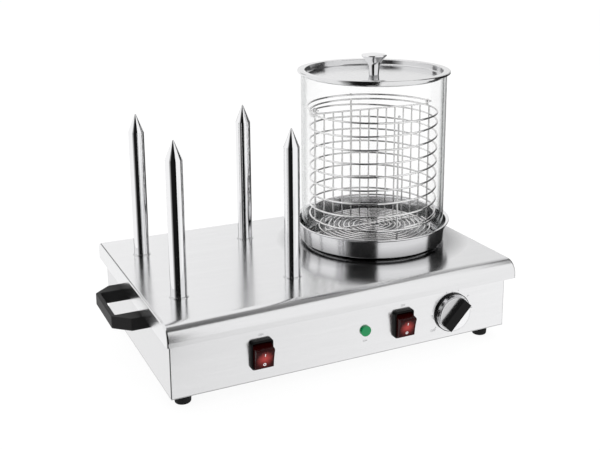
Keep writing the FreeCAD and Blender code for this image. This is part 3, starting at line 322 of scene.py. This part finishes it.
# Base plate: galvanised steel with its spangle, closed by small zinc-plated screws.
zinc = Finish("galvanised_sheet", Metallic=1.0)
spangle = zinc.node("TexVoronoi", {}, {"Vector": zinc.place(), "Scale": 110.0})
frost = zinc.noise(zinc.place(), 900.0, detail=3.0)
zinc.feed("Base Color", zinc.blend(spangle, grey(0.50), grey(0.66)))
zinc.feed("Roughness", 0.34 + spangle * 0.2 + frost * 0.08)
zinc.bump(frost, 0.00002)
dress(zinc, "base_plate", "heat_shield", "element_clamp")
plated = Finish("zinc_plated", Metallic=1.0)
tarnish = plated.noise(plated.place(), 300.0, detail=3.0)
plated.feed("Base Color", plated.blend(tarnish, (0.62, 0.62, 0.60, 1), (0.78, 0.79, 0.80, 1)))
plated.feed("Roughness", 0.22 + tarnish * 0.2)
dress(plated, "casing_screws", "foot_screws", "foot_nuts", "spike_nuts", "clamp_nut", "handle_screws",
      "lamp_nut", "thermal_cutout", "thermostat_shaft")

# Feet: black rubber, moulded with a dull skin.
rubber = Finish("foot_rubber", Specular_IOR_Level=0.15)
pores = rubber.noise(rubber.place(), 700.0, detail=3.0)
rubber.feed("Base Color", rubber.blend(pores, grey(0.006), grey(0.014)))
rubber.feed("Roughness", 0.55 + pores * 0.2)
rubber.bump(pores, 0.00003)
dress(rubber, "foot_front_left", "foot_front_right", "foot_back_left", "foot_back_right")


# Bun spikes: stainless rods turned to a point and polished, each on a thin turned collar.
# The marks of the lathe run round them, so what they mirror stays sharp from side to side.
def turned_steel(name, tone, roughness, centre, depth, axis="Z", painted_shades=()):
    """Steel turned on a lathe: its marks depend only on the reach from the axis and the way along it.
    Each painted shade is a height under which the steel is painted dark, the reach that it stays within, and
    a tone."""
    steel = Finish(name, Metallic=1.0)
    x, y, z = steel.split(steel.place(centre=centre))
    if axis == "Z":
        reach, along = (x * x + y * y) ** 0.5, z
    else:
        reach, along = (x * x + z * z) ** 0.5, y
    marks = steel.node("CombineXYZ", {}, {"X": reach, "Z": along})
    fine = steel.noise(marks, 1600.0, detail=3.0, roughness=0.6)
    broad = steel.noise(marks, 160.0, detail=2.0)
    cloud = steel.noise(steel.place(), 14.0, detail=2.0)
    lines = fine * 0.65 + broad * 0.35
    clean = steel.blend(steel.remap(lines, 0.3, 0.7), grey(tone * 0.96), grey(tone * 1.02))
    # Painted shade: below each height and within each reach the colour goes over to the dark tone.
    for height, within, dark in painted_shades:
        inside = steel.remap(reach, within, within - 0.0005)
        sunk = steel.remap(z, height + 0.0006, height) * inside
        clean = steel.blend(sunk, clean, grey(dark))
    steel.feed("Base Color", clean)
    steel.feed("Roughness", roughness + (lines - 0.5) * 0.04 + (cloud - 0.5) * 0.04)
    steel.bump(lines, depth)
    return steel


for corner in ("front_left", "front_right", "back_left", "back_right"):
    name = "bun_spike_" + corner
    low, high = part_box(name)
    middle = ((low[0] + high[0]) / 2, (low[1] + high[1]) / 2, 0)
    dress(turned_steel("spike_steel_" + corner, 0.90, 0.06, middle, 0.0000012), name)
dress(turned_steel("collar_steel", 0.8, 0.1, (0, 0, 0), 0.0), "spike_collars")

# Water pan: drawn from thin stainless sheet and spun bright, with a rolled rim.
# Painted shade: the pan's foot under its rounded bottom edge and its floor inside the basket are painted
# dark.
pan_foot_painted_shade = (0.1152, 0.2, 0.05)
pan_floor_painted_shade = (0.1190, 0.0925, 0.30)
dress(turned_steel("pan_steel", 0.84, 0.13, station, 0.000001, painted_shades=(pan_foot_painted_shade, pan_floor_painted_shade)), "water_pan")

# Glass cylinder: clear borosilicate tube that stands in the pan, its ends ground and fire polished.
# Only its mirror image of the room shows: faint on the walls facing us, strong where they are seen edge on.
glass = Finish("clear_glass", Base_Color=(0.93, 0.95, 0.95, 1), Metallic=1.0, Roughness=0.04)
edge_on = glass.node("LayerWeight", {}, {"Blend": 0.5}, output="Facing")
smear = glass.noise(glass.place(scale=(1, 1, 0.4)), 25.0, detail=3.0)
glass.feed("Alpha", 0.010 + smear * 0.016 + 0.09 * edge_on ** 2.0 + glass.remap(edge_on, 0.66, 0.86) * 0.60)
dress(glass, "glass_cylinder")

# Lid: a spun stainless dish that hangs inside the glass from its flange, with a turned knob screwed on.
dress(turned_steel("lid_steel", 0.78, 0.15, station, 0.000003), "lid", "lid_screw")
dress(turned_steel("lid_knob_steel", 0.88, 0.05, station, 0.000002), "lid_knob")

# Basket: bright stainless wire, welded: a coil on four uprights, a spiral floor, a screen and a bail.
wire = Finish("basket_wire", Metallic=1.0)
draw = wire.noise(wire.place(), 500.0, detail=3.0)
heat = wire.noise(wire.place(), 45.0, detail=2.0)
wire.feed("Base Color", wire.blend(heat, (0.78, 0.77, 0.76, 1), (0.90, 0.90, 0.91, 1)))
wire.feed("Roughness", 0.05 + draw * 0.07)
wire.bump(draw, 0.00001)
dress(wire, "basket_coil", "basket_frame", "basket_divider", "basket_floor", "basket_bail")

# Welds: a small flattened bead wherever the coil or the top ring crosses an upright of the basket.
coil_low, coil_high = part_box("basket_coil")
rings_low, rings_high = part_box("basket_frame")
wire_radius = 0.0013
coil_radius = (coil_high[0] - coil_low[0]) / 2 - wire_radius
coil_pitch = 0.0182
coil_turns = 7.75
bead_radius = 0.0019
reach_in = coil_radius - wire_radius
stands = 4
first_bearing = math.radians(-6)
beads = []
for stand in range(stands):
    bearing = first_bearing + stand * 2 * math.pi / stands
    along_coil = (bearing + math.pi / 2) % (2 * math.pi) / (2 * math.pi)
    heights = [rings_high[2] - wire_radius]
    while along_coil < coil_turns:
        heights.append(coil_low[2] + wire_radius + coil_pitch * along_coil)
        along_coil += 1
    for height in heights:
        bpy.ops.object.select_all(action="DESELECT")
        bpy.ops.mesh.primitive_ico_sphere_add(subdivisions=2, radius=bead_radius)
        bead = bpy.context.object
        bead.scale = (0.9, 1.0, 0.8)
        bead.rotation_euler = (0, 0, bearing)
        bead.location = (station[0] + reach_in * math.cos(bearing),
                         station[1] + reach_in * math.sin(bearing), height)
        bpy.ops.object.transform_apply(location=True, rotation=True, scale=True)
        beads.append(bead)
for bead in beads:
    bead.select_set(True)
bpy.context.view_layer.objects.active = beads[0]
bpy.ops.object.join()
welds = bpy.context.object
welds.name = "basket_welds"
bpy.ops.object.shade_smooth()
welds.data.materials.append(wire.material)
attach(welds, "basket")

# Switches: black moulded frames pushed into the panel, each with a clear red rocker over a lamp.
# The rockers carry the usual I and O.
black = Finish("black_plastic", Specular_IOR_Level=0.12)
moulding = black.noise(black.place(), 1100.0, detail=2.0)
wear = black.noise(black.place(), 30.0, detail=3.0)
black.feed("Base Color", black.blend(wear, grey(0.0035), grey(0.007)))
black.feed("Roughness", 0.38 + moulding * 0.15 + (wear - 0.5) * 0.1)
black.bump(moulding, 0.00003)
dress(black, "switch_housing_left", "switch_housing_right")


def rocker_finish(name, node):
    """Clear red plastic: a painted glow in the middle of its face stands for the lamp inside, and painted
    shade makes its rim and sides nearly black.
    """
    low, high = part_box(node)
    middle = [(a + b) / 2 for a, b in zip(low, high)]
    red = Finish(name, Roughness=0.16, Specular_IOR_Level=0.1)
    x, y, z = red.split(red.place(centre=middle))
    drop = z + 0.0022
    reach = (x * x * 1.3 + drop * drop * 1.1) ** 0.5
    turn = red.node("Math", {"operation": "ARCTAN2"}, {0: x, 1: drop})
    rays = red.noise(red.node("CombineXYZ", {}, {"X": turn * 4.0, "Y": reach * 60.0}), 1.6, detail=3.0)
    # Painted light: the glow mask lights and tints the middle of the front face; outside it the red is
    # painted nearly black as painted shade.
    front = red.remap(y, -0.0048, -0.0076)
    painted_glow = red.remap(reach + (rays - 0.5) * 0.009, 0.0125, 0.0015) * front
    red.feed("Base Color", red.blend(painted_glow, (0.022, 0.0012, 0.0012, 1), (0.30, 0.035, 0.033, 1)))
    red.feed("Emission Color", red.blend(painted_glow, (0, 0, 0, 1), (0.19, 0.030, 0.027, 1)))
    red.shader.inputs["Emission Strength"].default_value = 1.0
    return red


dress(rocker_finish("red_rocker_left", "rocker_left"), "rocker_left")
dress(rocker_finish("red_rocker_right", "rocker_right"), "rocker_right")


def lettering(name, words, height, middle, paint, boldness=0.0):
    """Printed words, upright on the front: text turned into a flat mesh that faces us."""
    bpy.ops.object.select_all(action="DESELECT")
    bpy.ops.object.text_add()
    print_object = bpy.context.object
    print_object.name = name
    print_object.data.body = words
    print_object.data.size = height
    print_object.data.align_x = "CENTER"
    print_object.data.align_y = "CENTER"
    print_object.data.resolution_u = 4
    print_object.data.offset = boldness
    bpy.ops.object.convert(target="MESH")
    print_object.rotation_euler = (math.pi / 2, 0, 0)
    print_object.location = middle
    bpy.ops.object.transform_apply(location=True, rotation=True, scale=True)
    print_object.data.materials.append(paint)
    return print_object


def lay_on(print_object, node, clearance):
    """Presses a flat print back onto the face of a CAD node."""
    wrap = print_object.modifiers.new("lay_on", "SHRINKWRAP")
    wrap.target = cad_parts[node]
    wrap.wrap_method = "PROJECT"
    wrap.use_project_y = True
    wrap.use_positive_direction = True
    wrap.use_negative_direction = False
    wrap.offset = clearance
    bpy.context.view_layer.objects.active = print_object
    bpy.ops.object.modifier_apply(modifier=wrap.name)


print_thickness = 0.00006
white_ink = Finish("white_ink", Specular_IOR_Level=0.2)
chalking = white_ink.noise(white_ink.place(), 1500.0, detail=2.0)
white_ink.feed("Base Color", white_ink.blend(chalking, grey(0.75), grey(0.95)))
white_ink.feed("Roughness", 0.4 + chalking * 0.2)
for side in ("left", "right"):
    low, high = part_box("rocker_" + side)
    across_middle = (low[0] + high[0]) / 2
    tall = high[2] - low[2]
    for mark, part_way in (("I", 0.66), ("O", 0.20)):
        name = "rocker_" + side + "_mark_" + mark
        before_face = (across_middle, low[1] - 0.01, low[2] + tall * part_way)
        print_object = lettering(name, mark, 0.0046, before_face, white_ink.material, boldness=0.00025)
        lay_on(print_object, "rocker_" + side, print_thickness)
        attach(print_object, side + "_rocker")

# Legends: small grey print over the switches, under the lamp and round the dial.
grey_ink = Finish("grey_ink", Specular_IOR_Level=0.2)
fading = grey_ink.noise(grey_ink.place(), 1200.0, detail=2.0)
grey_ink.feed("Base Color", grey_ink.blend(fading, grey(0.24), grey(0.38)))
grey_ink.feed("Roughness", 0.5 + fading * 0.2)
print_plane = panel_low[1] - print_thickness
for name, words, height, place in (("legend_left_switch", "ON", 0.0040, (-0.1207, 0.0760)),
                                   ("legend_right_switch", "ON", 0.0040, (0.0731, 0.0760)),
                                   ("legend_lamp", "ON", 0.0036, (0.0188, 0.0388)),
                                   ("legend_dial_off", "OFF", 0.0046, (0.1196, 0.0317))):
    legend = lettering(name, words, height, (place[0], print_plane, place[1]), grey_ink.material)
    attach(legend, "casing")

# Pilot lamp: a flat green lens snapped into the panel.
lens_low, lens_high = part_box("lamp_lens")
lens_middle = [(a + b) / 2 for a, b in zip(lens_low, lens_high)]
green = Finish("green_lens", Roughness=0.15, Coat_Weight=0.3, Specular_IOR_Level=0.3)
x, y, z = green.split(green.place(centre=lens_middle))
rings = green.noise(green.node("CombineXYZ", {}, {"X": (x * x + z * z) ** 0.5}), 2500.0, detail=1.0)
green.feed("Base Color", green.blend(rings, (0.0, 0.20, 0.06, 1), (0.003, 0.27, 0.085, 1)))
green.bump(rings, 0.00004)
dress(green, "lamp_lens")

# Dial: a black moulded knob with a grip bar, a brushed disc let into its face and a bright ring round it.
# The knob's thin rim between disc and ring is plated, and the disc has a painted highlight: its half under
# the grip is painted lighter.
dial_low, dial_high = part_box("knob_ring")
dial_middle = ((dial_low[0] + dial_high[0]) / 2, 0, (dial_low[2] + dial_high[2]) / 2)
knob_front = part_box("knob_face")[0][1]
knob_black = Finish("knob_plastic", Specular_IOR_Level=0.12)
x, y, z = knob_black.split(knob_black.place(centre=dial_middle))
reach = (x * x + z * z) ** 0.5
disc_radius = 0.0215
drum_radius = 0.0231
edge = 0.0001
rim = (knob_black.remap(reach, disc_radius - edge, disc_radius + edge)
       * knob_black.remap(reach, drum_radius + edge, drum_radius - edge)
       * knob_black.remap(y, knob_front - 0.0003, knob_front - edge))
moulding = knob_black.noise(knob_black.place(), 1100.0, detail=2.0)
knob_black.feed("Base Color", knob_black.blend(rim, grey(0.005), grey(0.75)))
knob_black.feed("Metallic", rim)
knob_black.feed("Roughness", 0.30 + moulding * 0.15)
dress(knob_black, "thermostat_knob")
dress(black, "lamp_body", "thermostat_body")
dial_disc = turned_steel("dial_disc", 0.62, 0.25, dial_middle, 0.00002, axis="Y")
x, y, z = dial_disc.split(dial_disc.place(centre=dial_middle))
# Painted highlight: the disc's half to the right of and below the grip is painted lighter.
dial_disc.tint(dial_disc.remap(x - z, -0.002, 0.002), 0.95)
dress(dial_disc, "knob_face")
dress(turned_steel("dial_ring", 0.82, 0.20, dial_middle, 0.0, axis="Y"), "knob_ring")
tick_reach = 0.0305
tick_count = 8
first_turn = -125
scale_sweep = 250
for count in range(tick_count):
    turn = math.radians(first_turn + count * scale_sweep / (tick_count - 1))
    bpy.ops.object.select_all(action="DESELECT")
    bpy.ops.mesh.primitive_plane_add(size=1)
    tick = bpy.context.object
    tick.name = "dial_tick_" + str(count)
    tick.scale = (0.0007, 0.0030, 1)
    tick.location = (0, tick_reach, 0)
    bpy.ops.object.transform_apply(location=True, rotation=True, scale=True)
    tick.rotation_euler = (math.pi / 2, turn, 0)
    tick.location = (dial_middle[0], print_plane, dial_middle[2])
    bpy.ops.object.transform_apply(location=True, rotation=True, scale=True)
    tick.data.materials.append(grey_ink.material)
    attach(tick, "casing")

# Handles: bow handles moulded in black plastic, screwed on from inside.
grained = Finish("handle_plastic", Specular_IOR_Level=0.30)
leather = grained.noise(grained.place(), 700.0, detail=4.0, roughness=0.7)
grained.feed("Base Color", grained.blend(leather, grey(0.004), grey(0.012)))
grained.feed("Roughness", 0.46 + leather * 0.2)
grained.bump(leather, 0.00012)
dress(grained, "handle_left", "handle_right")

# Supply entry: a black cable gland at the back.
dress(black, "cable_gland", "gland_nut")

# Inside, unseen from a step away: heater plate, elements, thermostat bulb and the wiring.
cast = Finish("cast_aluminium", Metallic=1.0)
skin = cast.noise(cast.place(), 200.0, detail=3.0)
cast.feed("Base Color", cast.blend(skin, grey(0.5), grey(0.64)))
cast.feed("Roughness", 0.4 + skin * 0.15)
dress(cast, "heat_plate")
scaled = Finish("element_steel", Metallic=1.0)
scale = scaled.noise(scaled.place(), 250.0, detail=3.0)
scaled.feed("Base Color", scaled.blend(scale, (0.10, 0.095, 0.09, 1), (0.24, 0.22, 0.20, 1)))
scaled.feed("Roughness", 0.45 + scale * 0.2)
dress(scaled, "heating_element", "spike_heaters")
copper = Finish("copper_tube", Metallic=1.0)
patina = copper.noise(copper.place(), 160.0, detail=3.0)
copper.feed("Base Color", copper.blend(patina, (0.55, 0.25, 0.14, 1), (0.80, 0.42, 0.27, 1)))
copper.feed("Roughness", 0.25 + patina * 0.2)
dress(copper, "thermostat_bulb", "thermostat_capillary")
brass = Finish("brass_parts", Metallic=1.0)
dulling = brass.noise(brass.place(), 220.0, detail=3.0)
brass.feed("Base Color", brass.blend(dulling, (0.58, 0.42, 0.16, 1), (0.76, 0.60, 0.28, 1)))
brass.feed("Roughness", 0.25 + dulling * 0.2)
dress(brass, "block_screws", "earth_stud")
ceramic = Finish("block_ceramic")
glaze = ceramic.noise(ceramic.place(), 120.0, detail=3.0)
ceramic.feed("Base Color", ceramic.blend(glaze, (0.68, 0.64, 0.56, 1), (0.80, 0.77, 0.70, 1)))
ceramic.feed("Roughness", 0.4 + glaze * 0.2)
dress(ceramic, "terminal_block")
sleeve = Finish("wire_sleeve")
braid = sleeve.noise(sleeve.place(), 900.0, detail=2.0)
sleeve.feed("Base Color", sleeve.blend(braid, (0.60, 0.58, 0.53, 1), (0.78, 0.76, 0.72, 1)))
sleeve.feed("Roughness", 0.6 + braid * 0.2)
sleeve.bump(braid, 0.00005)
dress(sleeve, "switch_leads")
